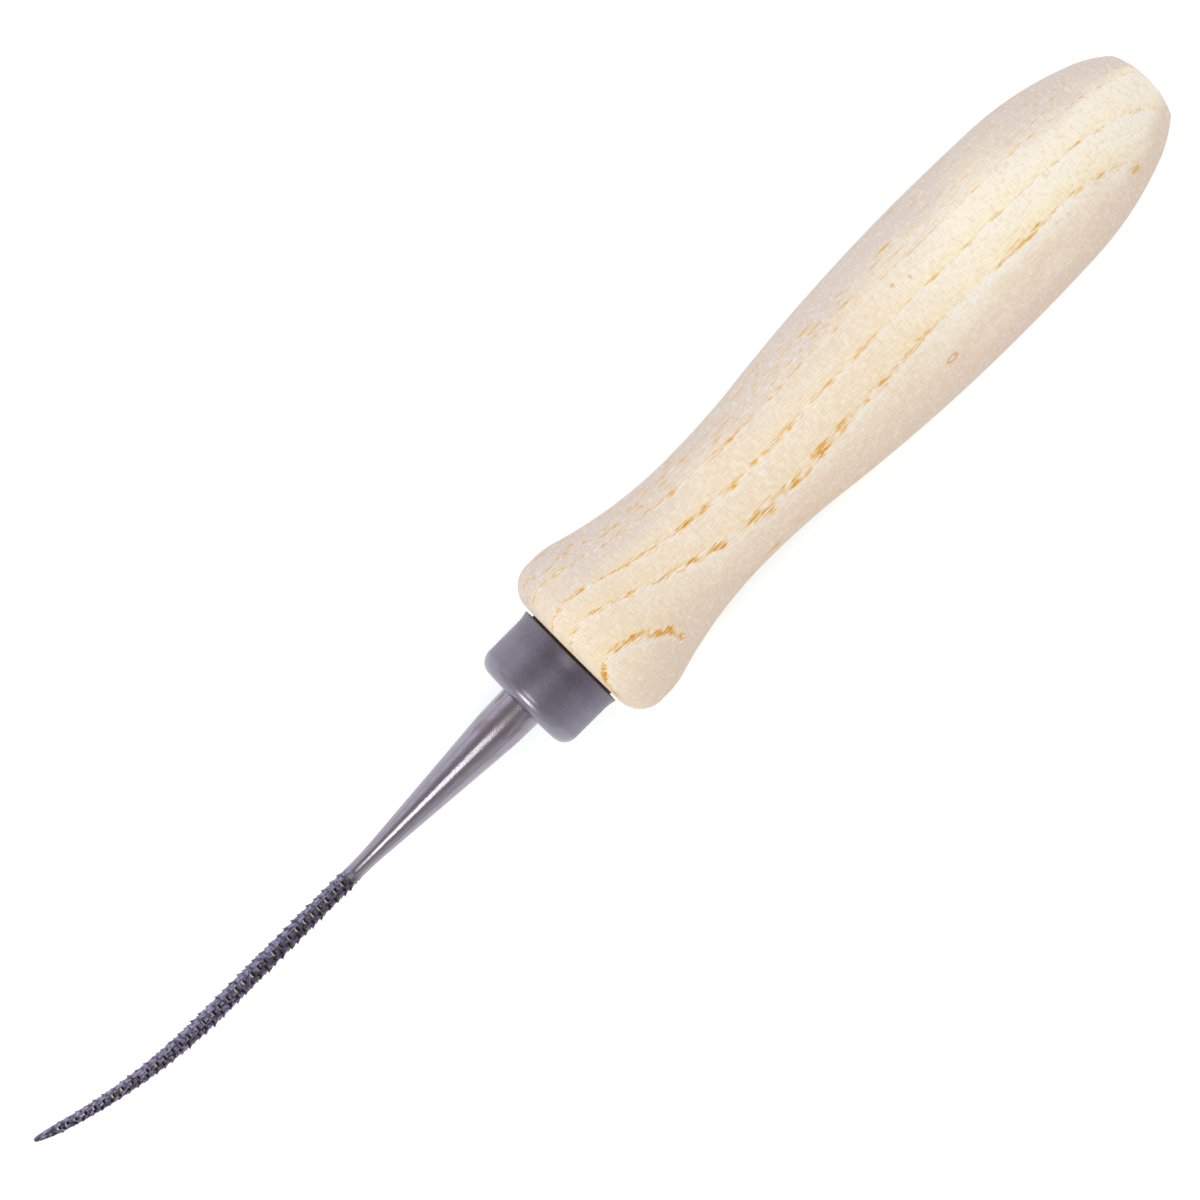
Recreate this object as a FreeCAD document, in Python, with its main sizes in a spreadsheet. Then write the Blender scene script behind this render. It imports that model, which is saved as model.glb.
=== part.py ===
"""Curved hand-stitched round rasp: a toothed steel needle, its ferrule and a turned ash handle.

Lengths are millimetres.  Inside each piece, x is measured from the handle's shoulder, towards the
needle's tip.  Every piece is then slid back along X, so that the model's origin is the middle of
the ferrule's barrel.  The needle bends sideways, towards -Y, and +Z is up as the tool lies.
"""
import FreeCAD, Part
import math
import os

import Sketcher
from FreeCAD import Placement, Rotation, Vector

# Driving dimensions: alias, value, what it is.
SIZES = [
    ("handle_length", 125.0, "shoulder to the flat of the butt"),
    ("spigot_length", 9.7, "turned end that the ferrule is pressed on"),
    ("spigot_radius", 8.45, "also the ferrule's inside radius"),
    ("shoulder_round", 4.5, "rounding of the shoulder's edge"),
    ("flare_radius", 14.75, "largest radius, just behind the shoulder"),
    ("flare_crest", 6.0, "from the shoulder to the end of the largest radius"),
    ("flare_bend", 14.0, "profile radius where the flare turns down"),
    ("waist_radius", 11.02, "smallest radius, under the forefinger"),
    ("waist_place", 31.0, "from the shoulder to the waist"),
    ("waist_bend", 140.0, "profile radius behind the waist"),
    ("belly_radius", 14.15, "largest radius in the palm"),
    ("belly_place", 84.0, "from the shoulder to the belly"),
    ("belly_bend", 400.0, "profile radius behind the belly"),
    ("belly_end", 100.0, "from the shoulder to where the end starts to round"),
    ("end_bend", 56.0, "profile radius of the rounding end"),
    ("butt_bend", 20.0, "profile radius close to the butt"),
    ("dome_radius", 15.0, "radius of the butt's dome"),
    ("dome_edge", 6.5, "radius of the edge round the dome"),
    ("parting_flat", 3.0, "radius of the flat left by parting off"),
    ("bore_radius", 2.6, "pilot bore, front step"),
    ("bore_depth", 22.0, "front step, from the shoulder"),
    ("pilot_radius", 1.9, "pilot bore, rear step"),
    ("pilot_depth", 48.0, "rear step, from the shoulder"),
    ("shoulder_gap", 0.45, "bare spigot between the shoulder and the ferrule"),
    ("rim_radius", 9.75, "ferrule's flared rear rim"),
    ("barrel_radius", 9.45, "ferrule's cylindrical barrel"),
    ("barrel_start", 2.6, "rear end of the barrel"),
    ("barrel_end", 8.9, "front end of the barrel"),
    ("nose_round", 2.4, "ferrule's rounded front edge"),
    ("nose_wall", 1.2, "thickness of the ferrule's front"),
    ("shank_hole", 3.9, "radius of the hole in the ferrule's front"),
    ("shank_radius", 3.8, "shank where it meets the spigot"),
    ("shank_bend", 132.0, "profile radius behind the shank's taper"),
    ("neck_place", 47.5, "from the shoulder to the neck"),
    ("neck_bend", 65.0, "profile radius where the taper runs into the neck"),
    ("tang_width", 5.0, "square tang at the shank"),
    ("tang_point", 2.4, "square tang at its end"),
    ("tang_depth", 44.0, "from the shoulder to the tang's end"),
    ("bend_start", 78.6, "from the shoulder to where the needle starts to bend"),
    ("bend_radius", 100.0, "radius of the bend"),
    ("bend_angle", 19.4, "turn of the bend, in degrees"),
    ("core_radius", 1.38, "bare neck, and the steel under the teeth up to the bend"),
    ("core_taper", 0.53, "radius lost between there and the point"),
    ("point_start", 0.8, "share of the bend after which the point rounds off"),
    ("point_flat", 0.2, "radius of the blunt end"),
    ("tooth_rows", 9, "rows of teeth round the needle, one of them on top"),
    ("tooth_pitch", 1.66, "spacing along a row"),
    ("tooth_height", 0.32, "crest above the steel"),
    ("tooth_length", 0.75, "heel to crest"),
    ("tooth_width", 0.8, "across the front"),
    ("tooth_lean", 0.1, "how far the crest overhangs the front"),
    ("teeth_start", 48.2, "from the shoulder to the first crests"),
    ("bare_point", 3.2, "length at the point without teeth"),
]
BEND_SECTIONS = 8            # round sections lofted along the bend
TOOTH_SINK = 0.15            # depth of a tooth's foot in the steel
HAND_SPREAD = 0.18           # unevenness of the hand-set spacing, as a share of the pitch
HAND_TURN = 0.12             # unevenness round the needle, as a share of the space between rows
ROW_STAGGER = 0.444          # how far each row starts ahead of the one before, as a share of the pitch

CROSS_PLANE = "YZ_Plane"
LONG_PLANE = "XY_Plane"


def make_sheet(doc):
    """Put the driving dimensions in a spreadsheet and return it."""
    sheet = doc.addObject("Spreadsheet::Sheet", "Sizes")
    for row, (alias, value, note) in enumerate(SIZES, start=1):
        sheet.set(f"A{row}", alias)
        sheet.set(f"B{row}", str(value))
        sheet.set(f"C{row}", note)
        sheet.setAlias(f"B{row}", alias)
    doc.recompute()
    return sheet


def new_body(doc, label):
    """Return a body that is slid back so that the barrel's middle is the origin."""
    body = doc.addObject("PartDesign::Body", label)
    body.Label = label
    body.setExpression("Placement.Base.x", "-(Sizes.barrel_start + Sizes.barrel_end) / 2")
    return body


def new_sketch(body, name, plane):
    """Return a sketch on one of the body's own origin planes."""
    sketch = body.newObject("Sketcher::SketchObject", name)
    support = next(item for item in body.Origin.OriginFeatures if item.Role == plane)
    sketch.AttachmentSupport = [(support, "")]
    sketch.MapMode = "FlatFace"
    return sketch


class Outline:
    """A closed outline in a sketch, drawn piece after piece, each piece joined to the last."""

    def __init__(self, sketch, start):
        self.sketch = sketch
        self.first = None
        self.last = None
        self.pen = Vector(*start, 0)

    def join(self, geometry, begins, ends, smooth):
        """Tie a new piece to the end of the last one; begins and ends are its end numbers."""
        if self.last is None:
            self.first = (geometry, begins)
        else:
            kind = "Tangent" if smooth else "Coincident"
            self.sketch.addConstraint(Sketcher.Constraint(kind, *self.last, geometry, begins))
        self.last = (geometry, ends)

    def line(self, x, y, level=False, upright=False, smooth=False):
        """Draw a line to a point."""
        target = Vector(x, y, 0)
        geometry = self.sketch.addGeometry(Part.LineSegment(self.pen, target), False)
        self.join(geometry, 1, 2, smooth)
        if level:
            self.sketch.addConstraint(Sketcher.Constraint("Horizontal", geometry))
        if upright:
            self.sketch.addConstraint(Sketcher.Constraint("Vertical", geometry))
        self.pen = target
        return geometry

    def arc(self, centre, x, y, turn, smooth=False):
        """Draw an arc about a centre to a point; turn is +1 counter-clockwise, -1 clockwise."""
        middle = Vector(*centre, 0)
        target = Vector(x, y, 0)
        ends = [self.pen, target] if turn > 0 else [target, self.pen]
        angles = [math.atan2(end.y - middle.y, end.x - middle.x) for end in ends]
        if angles[1] < angles[0]:
            angles[1] += 2 * math.pi
        circle = Part.Circle(middle, Vector(0, 0, 1), (target - middle).Length)
        geometry = self.sketch.addGeometry(Part.ArcOfCircle(circle, *angles), False)
        begins, ends = (1, 2) if turn > 0 else (2, 1)
        self.join(geometry, begins, ends, smooth)
        self.pen = target
        return geometry

    def close(self):
        """Tie the last piece to the first."""
        self.sketch.addConstraint(Sketcher.Constraint("Coincident", *self.last, *self.first))


def bind(sketch, kind, *places, cell):
    """Add a dimension to a sketch and bind it to a formula on the spreadsheet's cells."""
    value = float(sketch.evalExpression(cell))
    index = sketch.addConstraint(Sketcher.Constraint(kind, *places, value))
    sketch.setExpression(f"Constraints[{index}]", cell)


def pin_point(sketch, point, x=None, y=None):
    """Hold a point of a sketch at formulas for its place along and off the axis."""
    origin = (-1, 1)
    if x is not None:
        bind(sketch, "DistanceX", *origin, *point, cell=x)
    if y is not None:
        bind(sketch, "DistanceY", *origin, *point, cell=y)


def revolve(body, sketch, label):
    """Turn an outline about the tool's axis."""
    solid = body.newObject("PartDesign::Revolution", label)
    solid.Profile = sketch
    solid.ReferenceAxis = (sketch, ["H_Axis"])
    solid.Angle = 360
    return solid


def square_section(body, name, station, width):
    """Return a sketch of a square across the axis; station and width are formulas."""
    sketch = new_sketch(body, name, CROSS_PLANE)
    sketch.setExpression("AttachmentOffset.Base.z", station)
    corners = [Vector(side, height, 0) for side, height in ((1, 1), (-1, 1), (-1, -1), (1, -1))]
    for number, corner in enumerate(corners):
        sketch.addGeometry(Part.LineSegment(corner, corners[(number + 1) % 4]), False)
    for number in range(4):
        sketch.addConstraint(Sketcher.Constraint("Coincident", number, 2, (number + 1) % 4, 1))
        kind = "Vertical" if number % 2 else "Horizontal"
        sketch.addConstraint(Sketcher.Constraint(kind, number))
    pin_point(sketch, (0, 1), x=f"{width} / 2", y=f"{width} / 2")
    pin_point(sketch, (2, 1), x=f"-{width} / 2", y=f"-{width} / 2")
    return sketch


def tang_loft(body, kind):
    """Add the square tapered tang to a body, or cut its seat."""
    root = square_section(body, "tang_root", "Sizes.spigot_length", "Sizes.tang_width")
    point = square_section(body, "tang_end", "-Sizes.tang_depth", "Sizes.tang_point")
    loft = body.newObject(kind, "tang")
    loft.Profile = root
    loft.Sections = [point]
    loft.Ruled = True
    return loft


def crossing(first, first_reach, second, second_reach):
    """Return the point at these distances from two points, on the right going from one to the other."""
    link = second - first
    along = (first_reach ** 2 - second_reach ** 2 + link.Length ** 2) / (2 * link.Length)
    aside = math.sqrt(first_reach ** 2 - along ** 2)
    heading = link / link.Length
    return first + heading * along + Vector(heading.y, -heading.x, 0) * aside


def handle_outline(sketch, size):
    """Draw half of the turned handle, from the spigot round the butt and back along the bore."""
    crest = (-size["flare_crest"], size["flare_radius"])
    waist = (-size["waist_place"], size["waist_radius"])
    belly = (-size["belly_place"], size["belly_radius"])

    # Two arcs level at both ends: their radii add up to reach / sin(turn).
    flare_turn = 2 * math.atan2(crest[1] - waist[1], crest[0] - waist[0])
    waist_front = (crest[0] - waist[0]) / math.sin(flare_turn) - size["flare_bend"]
    rise_turn = 2 * math.atan2(belly[1] - waist[1], waist[0] - belly[0])
    belly_front = (waist[0] - belly[0]) / math.sin(rise_turn) - size["waist_bend"]

    # The rounding end, back from the belly: each arc's centre lies on the one before's normal.
    lean = math.asin((size["belly_end"] - size["belly_place"]) / size["belly_bend"])
    normal = Vector(-math.sin(lean), math.cos(lean), 0)
    belly_centre = Vector(belly[0], belly[1] - size["belly_bend"], 0)
    belly_exit = belly_centre + normal * size["belly_bend"]
    end_centre = belly_exit - normal * size["end_bend"]
    dome_middle = math.sqrt(size["dome_radius"] ** 2 - size["parting_flat"] ** 2) - size["handle_length"]
    dome_depth = math.sqrt(size["dome_radius"] ** 2 - size["dome_edge"] ** 2)
    edge = Vector(dome_middle - dome_depth, size["dome_edge"], 0)
    butt_centre = crossing(end_centre, size["end_bend"] - size["butt_bend"], edge, size["butt_bend"])
    toward_butt = (butt_centre - end_centre).normalize()
    end_exit = end_centre + toward_butt * size["end_bend"]

    shoulder = size["shoulder_round"]
    spigot = (size["spigot_length"], size["spigot_radius"])
    outline = Outline(sketch, (spigot[0], size["bore_radius"]))
    spigot_face = outline.line(*spigot, upright=True)
    spigot_side = outline.line(0, spigot[1], level=True)
    face = outline.line(0, crest[1] - shoulder, upright=True)
    outline.arc((-shoulder, crest[1] - shoulder), -shoulder, crest[1], +1)
    top = outline.line(*crest, level=True, smooth=True)
    flare_end = (crest[0] - size["flare_bend"] * math.sin(flare_turn),
                 crest[1] - size["flare_bend"] * (1 - math.cos(flare_turn)))
    flare = outline.arc((crest[0], crest[1] - size["flare_bend"]), *flare_end, +1)
    throat = outline.arc((waist[0], waist[1] + waist_front), *waist, -1, smooth=True)
    rise_end = (waist[0] - size["waist_bend"] * math.sin(rise_turn),
                waist[1] + size["waist_bend"] * (1 - math.cos(rise_turn)))
    rise = outline.arc((waist[0], waist[1] + size["waist_bend"]), *rise_end, -1)
    swell = outline.arc((belly[0], belly[1] - belly_front), *belly, +1, smooth=True)
    palm = outline.arc(belly_centre[:2], *belly_exit[:2], +1)
    end = outline.arc(end_centre[:2], *end_exit[:2], +1, smooth=True)
    butt = outline.arc(butt_centre[:2], *edge[:2], +1, smooth=True)
    dome = outline.arc((dome_middle, 0), -size["handle_length"], size["parting_flat"], +1)
    flat = outline.line(-size["handle_length"], 0, upright=True)
    axis = outline.line(-size["pilot_depth"], 0, level=True)
    pilot_end = outline.line(-size["pilot_depth"], size["pilot_radius"], upright=True)
    pilot = outline.line(-size["bore_depth"], size["pilot_radius"], level=True)
    bore_end = outline.line(-size["bore_depth"], size["bore_radius"], upright=True)
    outline.line(spigot[0], size["bore_radius"], level=True)
    outline.close()

    pin_point(sketch, (spigot_face, 2), x="Sizes.spigot_length", y="Sizes.spigot_radius")
    pin_point(sketch, (spigot_side, 2), x="0")
    pin_point(sketch, (face, 2), y="Sizes.flare_radius - Sizes.shoulder_round")
    pin_point(sketch, (top, 1), x="-Sizes.shoulder_round")
    pin_point(sketch, (top, 2), x="-Sizes.flare_crest", y="Sizes.flare_radius")
    for radius, arc in (("flare_bend", flare), ("waist_bend", rise), ("belly_bend", palm),
                        ("end_bend", end), ("butt_bend", butt), ("dome_radius", dome)):
        bind(sketch, "Radius", arc, cell=f"Sizes.{radius}")
    # A centre straight above or below a point makes the profile level there.
    pin_point(sketch, (flare, 3), x="-Sizes.flare_crest")
    pin_point(sketch, (throat, 3), x="-Sizes.waist_place")
    pin_point(sketch, (rise, 3), x="-Sizes.waist_place")
    pin_point(sketch, (rise, 2), x="-Sizes.waist_place", y="Sizes.waist_radius")
    pin_point(sketch, (swell, 3), x="-Sizes.belly_place")
    pin_point(sketch, (palm, 3), x="-Sizes.belly_place")
    pin_point(sketch, (palm, 1), x="-Sizes.belly_place", y="Sizes.belly_radius")
    pin_point(sketch, (palm, 2), x="-Sizes.belly_end")
    pin_point(sketch, (dome, 3), y="0")
    pin_point(sketch, (butt, 2), y="Sizes.dome_edge")
    pin_point(sketch, (flat, 1), x="-Sizes.handle_length", y="Sizes.parting_flat")
    pin_point(sketch, (flat, 2), y="0")
    pin_point(sketch, (axis, 2), x="-Sizes.pilot_depth")
    pin_point(sketch, (pilot_end, 2), y="Sizes.pilot_radius")
    pin_point(sketch, (pilot, 2), x="-Sizes.bore_depth")
    pin_point(sketch, (bore_end, 2), y="Sizes.bore_radius")


def make_handle(doc, size):
    """Turn the ash handle and cut the tang's seat in its pilot bore."""
    body = new_body(doc, "handle")
    sketch = new_sketch(body, "handle_outline", LONG_PLANE)
    handle_outline(sketch, size)
    revolve(body, sketch, "turned_handle")
    tang_loft(body, "PartDesign::SubtractiveLoft")
    return body


def ferrule_outline(sketch, size):
    """Draw half of the drawn cup that is pressed on the spigot."""
    rear = size["shoulder_gap"]
    barrel = size["barrel_radius"]
    start = size["barrel_start"]
    front = size["barrel_end"] + size["nose_round"]
    inside = size["spigot_radius"]
    floor = front - size["nose_wall"]
    nose = size["nose_round"]

    outline = Outline(sketch, (front, size["shank_hole"]))
    face = outline.line(front, barrel - nose, upright=True)
    rounding = outline.arc((front - nose, barrel - nose), front - nose, barrel, +1, smooth=True)
    side = outline.line(start, barrel, level=True)
    outline.line(rear, size["rim_radius"])
    end = outline.line(rear, inside, upright=True)
    outline.line(floor, inside, level=True)
    bottom = outline.line(floor, size["shank_hole"], upright=True)
    outline.line(front, size["shank_hole"], level=True)
    outline.close()

    pin_point(sketch, (face, 1), x="Sizes.barrel_end + Sizes.nose_round", y="Sizes.shank_hole")
    pin_point(sketch, (side, 1), x="Sizes.barrel_end", y="Sizes.barrel_radius")
    pin_point(sketch, (side, 2), x="Sizes.barrel_start")
    pin_point(sketch, (end, 1), x="Sizes.shoulder_gap", y="Sizes.rim_radius")
    pin_point(sketch, (end, 2), y="Sizes.spigot_radius")
    pin_point(sketch, (bottom, 1), x="Sizes.barrel_end + Sizes.nose_round - Sizes.nose_wall")
    bind(sketch, "Radius", rounding, cell="Sizes.nose_round")


def make_ferrule(doc, size):
    """Draw the steel ferrule."""
    body = new_body(doc, "ferrule")
    sketch = new_sketch(body, "ferrule_outline", LONG_PLANE)
    ferrule_outline(sketch, size)
    revolve(body, sketch, "drawn_cup")
    return body


def shank_outline(sketch, size):
    """Draw half of the shank, its taper, the neck and the needle up to the bend."""
    rear = (size["spigot_length"], size["shank_radius"])
    neck = (size["neck_place"], size["core_radius"])
    bends = (size["shank_bend"], size["neck_bend"])

    # The straight taper touches both arcs from opposite sides.
    reach = neck[0] - rear[0]
    lift = neck[1] + bends[1] - rear[1] + bends[0]
    taper = math.sqrt(reach ** 2 + lift ** 2 - sum(bends) ** 2)
    slope = math.atan2(reach, lift) - math.atan2(taper, sum(bends))

    outline = Outline(sketch, (rear[0], 0))
    end = outline.line(*rear, upright=True)
    shank = outline.arc((rear[0], rear[1] - bends[0]), rear[0] + bends[0] * math.sin(slope),
                        rear[1] - bends[0] * (1 - math.cos(slope)), -1)
    side = outline.line(neck[0] - bends[1] * math.sin(slope),
                        neck[1] + bends[1] * (1 - math.cos(slope)), smooth=True)
    throat = outline.arc((neck[0], neck[1] + bends[1]), *neck, +1, smooth=True)
    core = outline.line(size["bend_start"], size["core_radius"], level=True)
    front = outline.line(size["bend_start"], 0, upright=True)
    outline.line(rear[0], 0, level=True)
    outline.close()

    pin_point(sketch, (end, 2), x="Sizes.spigot_length", y="Sizes.shank_radius")
    pin_point(sketch, (shank, 3), x="Sizes.spigot_length")
    pin_point(sketch, (throat, 3), x="Sizes.neck_place")
    pin_point(sketch, (core, 1), x="Sizes.neck_place", y="Sizes.core_radius")
    pin_point(sketch, (core, 2), x="Sizes.bend_start")
    pin_point(sketch, (front, 2), y="0")
    bind(sketch, "Radius", shank, cell="Sizes.shank_bend")
    bind(sketch, "Radius", throat, cell="Sizes.neck_bend")


def bend_section(body, number, size):
    """Return a round section of the bent needle, square to its path."""
    share = number / BEND_SECTIONS
    turn = f"(Sizes.bend_angle * {share})"
    sketch = new_sketch(body, f"bend_section_{number}", CROSS_PLANE)
    sketch.setExpression("AttachmentOffset.Base.x", f"-Sizes.bend_radius * (1 - cos{turn})")
    sketch.setExpression("AttachmentOffset.Base.z", f"Sizes.bend_start + Sizes.bend_radius * sin{turn}")
    sketch.AttachmentOffset = Placement(Vector(), Rotation(Vector(0, -1, 0), size["bend_angle"] * share))
    circle = Part.Circle(Vector(), Vector(0, 0, 1), core_radius(share, size))
    geometry = sketch.addGeometry(circle, False)
    pin_point(sketch, (geometry, 3), x="0", y="0")
    sketch.addConstraint(Sketcher.Constraint("Radius", geometry, core_radius(share, size)))
    return sketch


def core_radius(share, size):
    """Return the steel's radius under the teeth at a share of the bend."""
    radius = size["core_radius"] - size["core_taper"] * share / size["point_start"]
    if share <= size["point_start"]:
        return radius
    blunt = size["point_flat"]
    nose = (share - size["point_start"]) / (1 - size["point_start"])
    shoulder = size["core_radius"] - size["core_taper"] - blunt
    return blunt + shoulder * math.sqrt(1 - nose ** 2)


def make_needle(doc, size):
    """Forge the steel: tang, shank, straight needle and its bent, tapered point."""
    body = new_body(doc, "needle")
    sketch = new_sketch(body, "shank_outline", LONG_PLANE)
    shank_outline(sketch, size)
    revolve(body, sketch, "shank")
    sections = [bend_section(body, number, size) for number in range(BEND_SECTIONS + 1)]
    bend = body.newObject("PartDesign::AdditiveLoft", "bent_point")
    bend.Profile = sections[0]
    bend.Sections = sections[1:]
    tang_loft(body, "PartDesign::AdditiveLoft")
    return body


def tooth(length, width, height, lean):
    """Return one raised thorn: X towards the needle's tip, Z outwards, its foot in the steel."""
    heel = Vector(-length, 0, -TOOTH_SINK)
    left = Vector(-lean, width / 2, -TOOTH_SINK)
    right = Vector(-lean, -width / 2, -TOOTH_SINK)
    crest = Vector(0, 0, height)
    sides = ((heel, right, left), (heel, left, crest), (left, right, crest), (right, heel, crest))
    faces = [Part.Face(Part.makePolygon([*side, side[0]])) for side in sides]
    return Part.Solid(Part.Shell(faces))


def path_frame(distance, size):
    """Return the point and the heading of the needle's centre line, and the steel's radius there."""
    start = size["bend_start"]
    if distance <= start:
        return Vector(distance, 0, 0), Vector(1, 0, 0), size["core_radius"]
    bend = size["bend_radius"]
    turn = (distance - start) / bend
    point = Vector(start + bend * math.sin(turn), -bend * (1 - math.cos(turn)), 0)
    share = turn / math.radians(size["bend_angle"])
    return point, Vector(math.cos(turn), -math.sin(turn), 0), core_radius(share, size)


def make_teeth(size):
    """Return the rows of teeth, set by hand and so a little uneven, staggered from row to row."""
    full = size["bend_start"] + size["bend_radius"] * math.radians(size["bend_angle"])
    end = full - size["bare_point"]
    pitch = size["tooth_pitch"]
    rows = int(size["tooth_rows"])
    teeth = []
    for row in range(rows):
        stagger = row * ROW_STAGGER % 1
        for step in range(int((end - size["teeth_start"]) / pitch)):
            wobble = HAND_SPREAD * math.sin(5.1 * row + 2.7 * step)
            distance = size["teeth_start"] + pitch * (step + stagger + wobble)
            point, heading, radius = path_frame(distance, size)
            scale = radius / size["core_radius"]
            angle = 2 * math.pi * (row + HAND_TURN * math.sin(3.3 * step + row)) / rows
            outward = Vector(0, 0, math.cos(angle)) + Vector(0, 0, 1).cross(heading) * math.sin(angle)
            thorn = tooth(size["tooth_length"], size["tooth_width"] * scale,
                          size["tooth_height"] * scale, size["tooth_lean"])
            across = outward.cross(heading)
            thorn.Placement = Placement(point + outward * radius, Rotation(heading, across, outward, "XYZ"))
            teeth.append(thorn)
    return teeth


def make_blade(doc, size):
    """Raise the teeth on the needle, which stays one piece of steel."""
    needle = make_needle(doc, size)
    doc.recompute()
    steel = needle.Shape.copy()
    steel.Placement = Placement()
    blade = doc.addObject("Part::Feature", "rasp_blade")
    blade.Label = "rasp_blade"
    blade.Shape = steel.fuse(make_teeth(size))
    blade.Placement = needle.Placement
    return blade


def main():
    """Build the three pieces, test them and write one STEP file for each."""
    doc = FreeCAD.newDocument("round_rasp")
    sheet = make_sheet(doc)
    size = {alias: float(getattr(sheet, alias)) for alias, _, _ in SIZES}
    pieces = [make_blade(doc, size), make_ferrule(doc, size), make_handle(doc, size)]
    doc.recompute()
    for item in doc.Objects:
        if {"Invalid", "Error"} & set(item.State):
            raise RuntimeError(f"{item.Label} did not recompute: {item.State}")
    os.makedirs("parts", exist_ok=True)
    for piece in pieces:
        if piece.Shape.isNull() or not piece.Shape.isValid() or len(piece.Shape.Solids) != 1:
            raise RuntimeError(f"{piece.Label} is not one sound solid")
        piece.Shape.exportStep(f"parts/{piece.Label}.step")
        print(piece.Label, "volume", round(piece.Shape.Volume, 1), "faces", len(piece.Shape.Faces))


main()
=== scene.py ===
import math

import bmesh
import bpy
from bpy.props import FloatProperty, FloatVectorProperty, IntProperty, PointerProperty
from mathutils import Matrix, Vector, noise


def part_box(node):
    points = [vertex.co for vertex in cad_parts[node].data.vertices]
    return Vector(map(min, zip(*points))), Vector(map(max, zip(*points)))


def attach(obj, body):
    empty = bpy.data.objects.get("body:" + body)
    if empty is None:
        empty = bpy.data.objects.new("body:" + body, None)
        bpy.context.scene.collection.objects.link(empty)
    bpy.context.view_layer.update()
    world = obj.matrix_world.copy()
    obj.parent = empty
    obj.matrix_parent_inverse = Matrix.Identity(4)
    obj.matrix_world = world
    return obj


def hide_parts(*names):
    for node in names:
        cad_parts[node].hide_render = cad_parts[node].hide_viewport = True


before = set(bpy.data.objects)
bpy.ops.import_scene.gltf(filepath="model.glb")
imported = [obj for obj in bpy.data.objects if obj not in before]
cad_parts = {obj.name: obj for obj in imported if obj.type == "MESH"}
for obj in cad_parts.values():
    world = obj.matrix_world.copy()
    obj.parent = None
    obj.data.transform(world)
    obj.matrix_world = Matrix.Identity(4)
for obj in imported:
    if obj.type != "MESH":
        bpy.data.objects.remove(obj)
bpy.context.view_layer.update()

bl_info = {
    "name": "Curved round hand rasp",
    "version": (1, 0, 0),
    "blender": (4, 5, 0),
    "location": "3D View > Sidebar > Rasp",
    "description": "Dresses the packed rasp: stitched needle, drawn ferrule and turned ash handle",
    "category": "Object",
}

MM = 0.001
BODY = "root"
HANDLE_LENGTH = 125.0
SHOULDER_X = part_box("handle")[0].x + HANDLE_LENGTH * MM   # the shoulder, from which sizes are taken
WHITE = (1.0, 1.0, 1.0, 1.0)


def srgb(red, green, blue):
    """Return a colour given in 8-bit steps as Blender's linear colour."""
    shares = (step / 255 for step in (red, green, blue))
    return tuple(s / 12.92 if s <= 0.04045 else ((s + 0.055) / 1.055) ** 2.4 for s in shares)


def length(name, description, millimetres):
    """A length that a user may change."""
    return FloatProperty(name=name, description=description, default=millimetres * MM, min=0.0,
                         unit="LENGTH", subtype="DISTANCE", precision=5)


def colour(name, description, *steps):
    """A colour that a user may change."""
    return FloatVectorProperty(name=name, description=description, default=srgb(*steps),
                               size=3, min=0.0, max=1.0, subtype="COLOR")


# ---------------------------------------------------------------- sizes and colours

class HandleSettings(bpy.types.PropertyGroup):
    """Sizes and colours of the turned ash handle."""

    total: length("Length", "Shoulder to butt", HANDLE_LENGTH)
    spigot: length("Spigot length", "Turned-down front that the ferrule sits on", 9.7)
    spigot_radius: length("Spigot radius", "Radius under the ferrule", 8.45)
    shoulder: length("Shoulder round", "Rounding of the shoulder", 4.5)
    flare: length("Flare radius", "Largest radius, behind the shoulder", 14.75)
    flare_crest: length("Flare crest", "Shoulder to the end of the largest radius", 6.0)
    flare_bend: length("Flare bend", "Profile radius where the flare turns down", 14.0)
    waist: length("Waist radius", "Smallest radius", 11.02)
    waist_place: length("Waist place", "Shoulder to waist", 31.0)
    waist_bend: length("Waist bend", "Profile radius behind the waist", 140.0)
    belly: length("Belly radius", "Largest radius in the palm", 14.15)
    belly_place: length("Belly place", "Shoulder to belly", 84.0)
    belly_bend: length("Belly bend", "Profile radius behind the belly", 400.0)
    belly_end: length("Belly end", "Shoulder to the rounding end", 100.0)
    end_bend: length("End bend", "Profile radius of the rounding end", 56.0)
    butt_bend: length("Butt bend", "Profile radius close to the butt", 20.0)
    dome: length("Dome radius", "Radius of the butt's dome", 15.0)
    dome_edge: length("Dome edge", "Radius of the edge round the dome", 6.5)
    flat: length("Parting flat", "Radius of the flat on the butt", 3.0)
    bore: length("Bore radius", "Front step of the pilot bore", 2.6)
    bore_depth: length("Bore depth", "Shoulder to the end of the front step", 22.0)
    pilot: length("Pilot radius", "Rear step of the pilot bore", 1.9)
    pilot_depth: length("Pilot depth", "Shoulder to the end of the pilot bore", 48.0)
    tool_marks: length("Tool marks", "Unevenness left by turning and sanding", 0.03)
    pale: colour("Pale wood", "Wood between the rings", 247, 238, 222)
    warm: colour("Warm wood", "Wood before a ring", 250, 231, 190)
    # Painted shade: the front of the handle is made darker and browner, where less light falls.
    tan: colour("Tan wood", "Wood of the front half", 222, 196, 172)
    # Painted shade: the +Y flank is made rosier and the -Y flank greyer, as less light falls on the
    # flanks than on the top.
    rosy_flank_shade: colour("Rosy wood", "Wood on the +Y side", 229, 207, 190)
    grey_flank_shade: colour("Grey wood", "Wood on the -Y side", 219, 205, 199)
    pore: colour("Pore", "Open pores along the rings", 240, 188, 92)
    deep: colour("Deep pore", "Middle of the widest pores", 208, 130, 20)
    # Painted highlight: whitish flecks beside the rings, where the pore edges catch the light.
    fleck_highlight: colour("Fleck", "Whitish fibres beside a ring", 246, 242, 241)
    weave_light: colour("Light weave", "Light threads of the woven texture", 253, 244, 230)
    weave_dark: colour("Dark weave", "Dark threads of the woven texture", 226, 202, 172)
    # Painted shade on the spigot in the gap behind the ferrule.
    gap: colour("Gap", "Spigot seen in the gap behind the ferrule", 118, 84, 58)


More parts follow.
